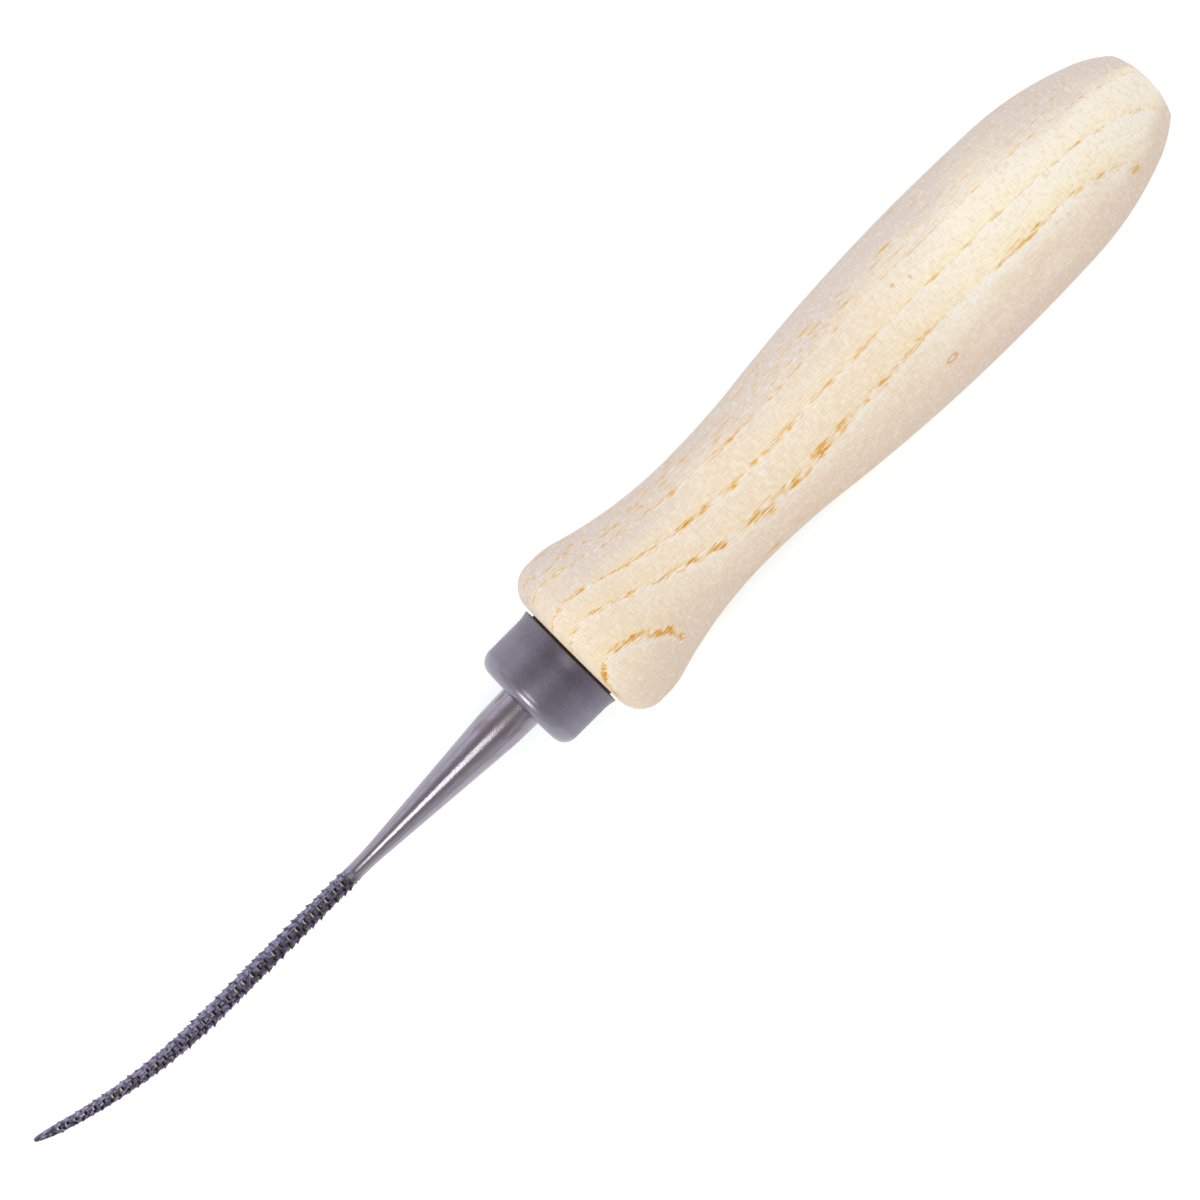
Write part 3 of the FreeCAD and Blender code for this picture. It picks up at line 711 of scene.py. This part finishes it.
NEEDLE_SIDES = 96
NEEDLE_ROWS = (4, 22, 1, 70, 700, 4)   # tang's end, tang, step to the shank, shank, needle, blunt end
RUN_IN = 1.0 * MM          # bare steel that is as finely divided as the toothed part
POINT_START = 0.8          # share of the bend after which the point rounds off
STAGGER = 0.444            # how far each row is set on from the one before, as a share of the pitch
CREST_PLACE = 0.55         # where a tooth's crest stands in its share of the row
SPREAD_ALONG = 0.34        # hand-set unevenness along a row, as a share of the pitch
SPREAD_ACROSS = 0.2        # hand-set unevenness round the needle, in millimetres
LEAST_TOOTH = 0.68         # the lowest tooth, as a share of the tooth height
TOOTH_SPREAD = 0.5         # how much more the highest tooth has
TEETH_IDS = 32             # more than the rows of teeth
BURR_HEIGHT = 0.07         # hammered texture between the teeth, in millimetres
WELD = 1e-6                # points closer than this, in metres, become one
NEEDLE_INPUTS = {
    "Tang width": "tang_width", "Tang point": "tang_point", "Tang depth": "tang_depth", "Root": "root",
    "Shank radius": "shank", "Shank bend": "shank_bend", "Neck place": "neck_place",
    "Neck bend": "neck_bend", "Core radius": "core", "Taper": "taper", "Blunt end": "blunt",
    "Bend start": "bend_start", "Bend radius": "bend_radius", "Bend angle": "bend_angle",
    "Rows": "rows", "Pitch": "pitch", "Tooth height": "tooth_height", "Tooth length": "tooth_length",
    "Tooth width": "tooth_width", "Lean": "lean", "Pit depth": "pit_depth", "Pit length": "pit_length",
    "Teeth start": "teeth_start", "Bare point": "bare_point", "Seed": "seed",
}


def needle_tree(material):
    """Return the tree that stitches the needle: a skin along the bent path, raised into rows of teeth."""
    tree = bpy.data.node_groups.new("stitched_needle", "GeometryNodeTree")
    board = Board(tree)
    inputs = {}
    tree.interface.new_socket("Geometry", in_out="OUTPUT", socket_type="NodeSocketGeometry")
    for name in NEEDLE_INPUTS:
        kind = "NodeSocketInt" if name in ("Rows", "Seed") else "NodeSocketFloat"
        inputs[name] = tree.interface.new_socket(name, in_out="INPUT", socket_type=kind)
    source = tree.nodes.new("NodeGroupInput")
    size = {name: Wire(board, source.outputs[name]) for name in NEEDLE_INPUTS}

    rows = sum(NEEDLE_ROWS)
    grid = board.node("GeometryNodeMeshGrid", None, [1.0, 1.0, rows + 1, NEEDLE_SIDES + 1])
    share_x, share_y, _ = board.parts(board.node("GeometryNodeInputPosition"))
    row = ((share_x + 0.5) * rows).maths("ROUND")
    turn = (share_y + 0.5) * math.tau + math.pi / size["Rows"]

    # How far along the path each row lies; both ends close on the axis.
    tip = size["Bend start"] + size["Bend radius"] * size["Bend angle"]
    lengths = [0.0, size["Root"] + size["Tang depth"], 0.0, size["Teeth start"] - RUN_IN - size["Root"],
               tip - size["Teeth start"] + RUN_IN, 0.0]
    reach = 0.0 - size["Tang depth"]
    closing = []
    done = 0
    for count, stretch in zip(NEEDLE_ROWS, lengths):
        inside = ((row - done) / count).clamped()
        if isinstance(stretch, Wire):
            reach = reach + inside * stretch
        closing.append(inside)
        done += count
    open_end = closing[0].maths("POWER", 0.5) * (1 - closing[5]).maths("POWER", 0.5)
    squared = 1 - closing[2]

    # The bare steel's radius: square tang, bulging shank, straight taper, hollow neck, core, point.
    tang_share = ((reach + size["Tang depth"]) / (size["Root"] + size["Tang depth"])).clamped()
    half = (size["Tang point"] + (size["Tang width"] - size["Tang point"]) * tang_share) * 0.5
    square = half / abs(turn.cosine()).most(abs(turn.sine()))
    span = size["Neck place"] - size["Root"]
    lift = size["Core radius"] + size["Neck bend"] - size["Shank radius"] + size["Shank bend"]
    both = size["Shank bend"] + size["Neck bend"]
    taper = (span * span + lift * lift - both * both).root()
    slope = span.maths("ARCTAN2", lift) - taper.maths("ARCTAN2", both)
    into = reach - size["Root"]
    left = size["Neck place"] - reach
    bulge = ((size["Shank bend"] * size["Shank bend"] - into * into).root()
             - size["Shank bend"] + size["Shank radius"])
    hollow = (size["Neck bend"] + size["Core radius"]
              - (size["Neck bend"] * size["Neck bend"] - left * left).root())
    side_start = size["Shank bend"] * slope.sine()
    side_end = size["Neck bend"] * slope.sine()
    side = (size["Shank radius"] - size["Shank bend"] * (1 - slope.cosine())
            - (into - side_start) * slope.maths("TANGENT"))
    on_bulge = into < side_start
    on_hollow = left < side_end
    shank = on_bulge * bulge + on_hollow * hollow + (1 - on_bulge - on_hollow) * side
    bend_share = ((reach - size["Bend start"]) / (tip - size["Bend start"])).clamped()
    nose = ((bend_share - POINT_START) / (1 - POINT_START)).clamped()
    worn = size["Core radius"] - size["Taper"] * (bend_share / POINT_START).least(1.0)
    core = size["Blunt end"] + (worn - size["Blunt end"]) * (1 - nose * nose).root()
    past_neck = reach > size["Neck place"]
    bare = past_neck * core + (1 - past_neck) * shank
    radius = squared * square + (1 - squared) * bare

    # The lattice of teeth: a row number round the needle, a tooth number along it.
    scale = core / size["Core radius"]
    around = turn * size["Rows"] / math.tau
    line = around.maths("ROUND")
    line_id = line.maths("FLOORED_MODULO", size["Rows"])
    stagger = (line_id * STAGGER).maths("FRACT")
    station = (reach - size["Teeth start"]) / size["Pitch"] - stagger + CREST_PLACE
    number = station.maths("FLOOR")
    tooth_id = number * TEETH_IDS + line_id

    def chance(seed):
        return board.node("FunctionNodeRandomValue", {"data_type": "FLOAT"},
                          {2: 0.0, 3: 1.0, "ID": tooth_id, "Seed": size["Seed"] + seed}, out=1)

    ahead = (station - number - CREST_PLACE - (chance(1) - 0.5) * SPREAD_ALONG) * size["Pitch"]
    aside = ((around - line) * math.tau / size["Rows"] * radius) - (chance(2) - 0.5) * SPREAD_ACROSS * MM
    full = LEAST_TOOTH + chance(3) * TOOTH_SPREAD
    zone = (reach / MM + chance(4) * 1.5).maths("SUBTRACT", size["Teeth start"] / MM).ramp(-0.2, 2.4)
    zone = zone * ((tip - size["Bare point"] - reach) / MM).ramp(-0.8, 1.0)

    # Each tooth climbs to its crest, drops to a front painted with shadow, and has the punch's hollow
    # before it.
    behind = (1 + ahead / (size["Tooth length"] * scale)).clamped() * (ahead < 0.0)
    narrow = abs(aside) / (size["Tooth width"] * 0.5 * scale)
    crown = (1 - narrow * narrow).clamped()
    rise = behind.maths("POWER", 1.5) * crown.maths("POWER", 0.7) * full * zone
    hollow_run = (1 - ahead / (size["Pit length"] * scale)).clamped() * (1 - (ahead < 0.0))
    bowl = (1 - narrow * narrow * 1.25).clamped()
    pit = hollow_run.maths("POWER", 0.8) * bowl * zone
    # Where the painted shadow on each tooth's front goes.
    front = abs(ahead / MM - 0.15).ramp(0.32, 0.2) * narrow.ramp(1.05, 0.85) * zone
    # Where the painted highlight in each hollow goes.
    lit_pocket = abs(ahead / MM - 0.55 + narrow * narrow * 0.2).ramp(0.17, 0.05)
    lit_pocket = lit_pocket * narrow.ramp(1.0, 0.7) * zone * (chance(5) * 0.9 + 0.25)

    # Burrs and hammered texture between the teeth.
    spot = board.vector(reach / (0.9 * MM), turn.sine() * radius / (0.5 * MM),
                        turn.cosine() * radius / (0.5 * MM))
    burr = board.node("ShaderNodeTexNoise", None, {"Vector": spot, "Scale": 1.0, "Detail": 2.0}) - 0.5
    raised = ((size["Tooth height"] * rise - size["Pit depth"] * pit) * scale
              + burr * zone * BURR_HEIGHT * MM)
    forward = reach + size["Lean"] * rise * behind * scale

    out = (radius + raised) * open_end
    arc = (forward - size["Bend start"]).most(0.0) / size["Bend radius"]
    centre_x = forward.least(size["Bend start"]) + size["Bend radius"] * arc.sine()
    centre_y = 0.0 - size["Bend radius"] * (1 - arc.cosine())
    sideways = turn.sine() * out
    moved = board.vector(centre_x + sideways * arc.sine() + SHOULDER_X,
                         centre_y + sideways * arc.cosine(), turn.cosine() * out)

    # The finish reads what a point is part of, stored before it is moved.
    skin = grid
    kept = (("tooth_rise", rise), ("tooth_front_shadow", front), ("tooth_lit_pocket", lit_pocket),
            ("upward", turn.cosine()), ("sideward", turn.sine()))
    for name, value in kept:
        skin = board.node("GeometryNodeStoreNamedAttribute", {"data_type": "FLOAT", "domain": "POINT"},
                          {"Geometry": skin, "Name": name, "Value": value})
    skin = board.node("GeometryNodeSetPosition", None, {"Geometry": skin, "Position": moved})
    skin = board.node("GeometryNodeMergeByDistance", None, {"Geometry": skin, "Distance": WELD})
    skin = board.node("GeometryNodeRealizeInstances", None, {"Geometry": skin})
    skin = board.node("GeometryNodeSetMaterial", None, {"Geometry": skin, "Material": material})
    board.node("NodeGroupOutput", None, [skin])
    return tree, {name: socket.identifier for name, socket in inputs.items()}


# ---------------------------------------------------------------- operators

class RASP_OT_handle(bpy.types.Operator):
    """Turn the ash handle"""

    bl_idname = "rasp.handle"
    bl_label = "Handle"

    def execute(self, context):
        size = context.scene.rasp_handle
        handle = lathe("ash_handle", handle_outline(size), ash_wood(size), False, size.tool_marks)
        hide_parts("handle")
        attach(handle, BODY)
        return {"FINISHED"}


class RASP_OT_ferrule(bpy.types.Operator):
    """Draw the steel ferrule"""

    bl_idname = "rasp.ferrule"
    bl_label = "Ferrule"

    def execute(self, context):
        size = context.scene.rasp_ferrule
        outline = ferrule_outline(size, context.scene.rasp_handle.spigot_radius)
        ferrule = lathe("steel_ferrule", outline, ferrule_steel(size), True)
        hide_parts("ferrule")
        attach(ferrule, BODY)
        return {"FINISHED"}


class RASP_OT_needle(bpy.types.Operator):
    """Stitch the needle"""

    bl_idname = "rasp.needle"
    bl_label = "Needle"

    def execute(self, context):
        size = context.scene.rasp_needle
        material = blade_steel(size)
        tree, identifiers = needle_tree(material)
        mesh = bpy.data.meshes.new("stitched_needle")
        needle = bpy.data.objects.new("stitched_needle", mesh)
        context.scene.collection.objects.link(needle)
        stitching = needle.modifiers.new("stitching", "NODES")
        stitching.node_group = tree
        for name, setting in NEEDLE_INPUTS.items():
            stitching[identifiers[name]] = getattr(size, setting)
        graph = context.evaluated_depsgraph_get()
        made = bpy.data.meshes.new_from_object(needle.evaluated_get(graph),
                                               preserve_all_data_layers=True, depsgraph=graph)
        needle.modifiers.remove(stitching)
        needle.data = made
        bpy.data.meshes.remove(mesh)
        made.name = "stitched_needle"
        if not made.polygons:
            raise RuntimeError("the needle's tree made no faces")
        face_outward(made, sharp_angle=math.radians(50))
        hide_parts("rasp_blade")
        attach(needle, BODY)
        return {"FINISHED"}


FLOOR_CLEARANCE = 0.05 * MM
VIEW_MIDDLE = (-14.55 * MM, -2.9 * MM)


class RASP_OT_stage(bpy.types.Operator):
    """Set the floor, the light and the camera"""

    bl_idname = "rasp.stage"
    bl_label = "Stage"

    def execute(self, context):
        scene = context.scene
        stage = scene.rasp_stage
        scene.view_settings.view_transform = "Standard"
        self.lay_floor(scene, stage)
        self.hang_lamps(scene)
        self.light_sky(scene, stage)
        self.place_camera(scene, stage)
        return {"FINISHED"}

    def lay_floor(self, scene, stage):
        """Lay the floor against the flare and the belly, on which the tool rests."""
        handle = scene.rasp_handle
        slope = (handle.flare - handle.belly) / (handle.belly_place - handle.flare_crest)
        crest_x = SHOULDER_X - handle.flare_crest
        half = stage.floor_side / 2
        corners = [(x, y, -handle.flare - slope * (x - crest_x) - FLOOR_CLEARANCE)
                   for x, y in ((-half, -half), (half, -half), (half, half), (-half, half))]
        mesh = bpy.data.meshes.new("floor")
        mesh.from_pydata(corners, [], [(0, 1, 2, 3)])
        mesh.materials.append(white_floor())
        floor = bpy.data.objects.new("floor", mesh)
        scene.collection.objects.link(floor)

    def hang_lamps(self, scene):
        """Hang the soft lamps: name, place, aim, width, height, watts, colour."""
        lamps = (
            ("shank_strip", (0.31, 0.0, 1.0), (0.03, 0.0, 0.0), 0.46, 0.26, 1.6, (0.96, 1.0, 0.87)),
            ("rear_box", (-0.75, -0.1, 0.9), (0.0, 0.0, 0.0), 0.5, 0.5, 2.6, (1.0, 0.99, 0.96)),
            ("side_box", (-0.1, -1.0, 0.4), (-0.02, 0.0, 0.0), 1.1, 0.6, 0.75, (0.93, 0.93, 1.0)),
            ("tip_window", (0.75, 0.0, 0.48), (0.0, 0.0, 0.0), 0.36, 0.13, 2.0, (1.0, 0.97, 0.86)),
        )
        for name, place, aim, width, height, watts, tone in lamps:
            data = bpy.data.lights.new(name, "AREA")
            data.shape = "RECTANGLE"
            data.size = width
            data.size_y = height
            data.energy = watts
            data.color = tone
            lamp = bpy.data.objects.new(name, data)
            lamp.location = place
            lamp.rotation_mode = "QUATERNION"
            lamp.rotation_quaternion = (Vector(aim) - Vector(place)).to_track_quat("-Z", "Y")
            scene.collection.objects.link(lamp)

    def light_sky(self, scene, stage):
        """Light from all round, dimmer overhead, seen by the camera as plain white."""
        world = bpy.data.worlds.new("studio")
        scene.world = world
        world.use_nodes = True
        board = Board(world.node_tree)
        _, _, up = board.parts(board.node("ShaderNodeTexCoord", out="Generated"))
        glow = stage.horizon + up.ramp(0.35, 0.95) * (stage.ambient - stage.horizon)
        camera = board.node("ShaderNodeLightPath", out="Is Camera Ray")
        strength = camera + (1 - camera) * glow
        sky = board.node("ShaderNodeBackground", None, {"Color": WHITE, "Strength": strength})
        board.node("ShaderNodeOutputWorld", None, {"Surface": sky})

    def place_camera(self, scene, stage):
        """Look straight down, the needle pointing to the lower left."""
        data = bpy.data.cameras.new("camera")
        data.lens = data.sensor_width * stage.camera_height / stage.view_width
        data.clip_start = 0.01
        camera = bpy.data.objects.new("camera", data)
        camera.location = (*VIEW_MIDDLE, stage.camera_height)
        camera.rotation_euler = (0.0, 0.0, math.radians(135))
        scene.collection.objects.link(camera)
        scene.camera = camera


class RASP_PT_panel(bpy.types.Panel):
    """Lists the steps that dress the rasp"""

    bl_label = "Rasp"
    bl_idname = "RASP_PT_panel"
    bl_space_type = "VIEW_3D"
    bl_region_type = "UI"
    bl_category = "Rasp"

    def draw(self, context):
        for maker in MAKERS:
            self.layout.operator(maker.bl_idname)
        for group in GROUPS:
            settings = getattr(context.scene, group)
            box = self.layout.box()
            for name in settings.__annotations__:
                box.prop(settings, name)


GROUPS = {
    "rasp_handle": HandleSettings,
    "rasp_ferrule": FerruleSettings,
    "rasp_needle": NeedleSettings,
    "rasp_stage": StageSettings,
}
MAKERS = (RASP_OT_handle, RASP_OT_ferrule, RASP_OT_needle, RASP_OT_stage)
CLASSES = (*GROUPS.values(), *MAKERS, RASP_PT_panel)


def register():
    for item in CLASSES:
        bpy.utils.register_class(item)
    for name, group in GROUPS.items():
        setattr(bpy.types.Scene, name, PointerProperty(type=group))


def unregister():
    for name in GROUPS:
        delattr(bpy.types.Scene, name)
    for item in reversed(CLASSES):
        bpy.utils.unregister_class(item)


def main():
    """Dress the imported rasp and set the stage."""
    register()
    bpy.ops.rasp.handle()
    bpy.ops.rasp.ferrule()
    bpy.ops.rasp.needle()
    bpy.ops.rasp.stage()


if __name__ == "__main__":
    main()
